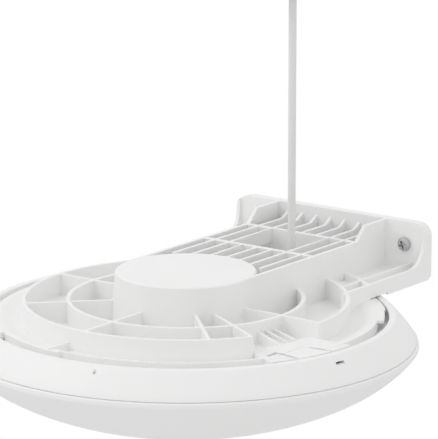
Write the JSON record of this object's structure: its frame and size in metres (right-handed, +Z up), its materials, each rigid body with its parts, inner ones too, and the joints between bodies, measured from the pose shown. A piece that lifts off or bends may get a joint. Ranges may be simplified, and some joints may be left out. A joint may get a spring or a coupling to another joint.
{
  "type": "ceiling access point",
  "caption": "Round dish-shaped wireless access point hung face down under a ribbed wall arm, with a data cable dropping from the ceiling.",
  "frame": {"origin": "centre of the wall plate's back face, on the wall", "axes": "+Y into the wall, +Z up, +X to the right as seen by someone facing the wall"},
  "size_m": [0.22, 0.2457, 0.2057],
  "materials": {
    "bracket_plastic": "satin white moulded plastic",
    "housing_plastic": "satin white moulded plastic",
    "dome_plastic": "fine satin white moulded plastic",
    "cover_plastic": "satin white moulded plastic",
    "screw_steel": "zinc-plated steel",
    "circuit_board": "solder mask over glass laminate",
    "spreader_aluminium": "satin aluminium",
    "shield_tin": "tinned steel sheet",
    "black_plastic": "moulded black plastic",
    "antenna_metal": "stamped brass sheet",
    "clear_plastic": "clear polycarbonate",
    "soft_rubber": "soft pale rubber",
    "cable_sheath": "smooth white cable jacket",
    "thermal_pad": "soft thermal pad",
    "grey_plastic": "grey moulded plastic"
  },
  "bodies": {
    "bracket": {"arm_bracket": "bracket_plastic", "wall_screw_left": "screw_steel", "wall_screw_right": "screw_steel", "cable_drop": "cable_sheath", "ceiling_cover": "cover_plastic", "ceiling_gland": "soft_rubber"},
    "access_point": {"back_housing": "housing_plastic", "dome_cover": "dome_plastic", "case_screw_1": "screw_steel", "case_screw_2": "screw_steel", "case_screw_3": "screw_steel", "case_screw_4": "screw_steel", "board_screw_1": "screw_steel", "board_screw_2": "screw_steel", "board_screw_3": "screw_steel", "board_screw_4": "screw_steel", "main_board": "circuit_board", "heat_spreader": "spreader_aluminium", "capacitor_1": "spreader_aluminium", "capacitor_2": "spreader_aluminium", "shield_can_radio_a": "shield_tin", "shield_can_radio_b": "shield_tin", "shield_can_processor": "shield_tin", "ethernet_jack": "shield_tin", "chip_radio_a": "black_plastic", "chip_radio_b": "black_plastic", "chip_processor": "black_plastic", "line_transformer": "black_plastic", "power_inductor": "black_plastic", "reset_switch": "black_plastic", "antenna_1": "antenna_metal", "antenna_2": "antenna_metal", "antenna_3": "antenna_metal", "antenna_4": "antenna_metal", "plug_body": "clear_plastic", "status_light_pipe": "clear_plastic", "plug_boot": "soft_rubber", "seam_gasket": "soft_rubber", "cable_tail": "cable_sheath", "thermal_pad_radio_a": "thermal_pad", "thermal_pad_radio_b": "thermal_pad", "thermal_pad_processor": "thermal_pad"},
    "release_latch": {"release_latch": "bracket_plastic"},
    "reset_button": {"reset_button": "grey_plastic"},
    "plug_lever": {"plug_lever": "clear_plastic"}
  },
  "joints": [
    {"name": "ap_twist", "type": "hinge", "parent": "bracket", "child": "access_point", "pos_m": [0, -0.124, -0.018], "axis": [0, 0, 1], "range_deg": [0, 12]},
    {"name": "latch_flex", "type": "hinge", "parent": "bracket", "child": "release_latch", "pos_m": [0.0792, -0.1478, -0.0149], "axis": [0, -1, 0], "range_deg": [0, 6], "stiffness_Nm_per_rad": 2},
    {"name": "reset_press", "type": "slide", "parent": "access_point", "child": "reset_button", "axis": [0, 0, -1], "range_m": [0, 0.0005], "stiffness_N_per_m": 800},
    {"name": "plug_latch", "type": "hinge", "parent": "access_point", "child": "plug_lever", "pos_m": [0.0076, -0.0456, -0.0319], "axis": [1, 0, 0], "range_deg": [0, 4], "stiffness_Nm_per_rad": 0.3}
  ]
}
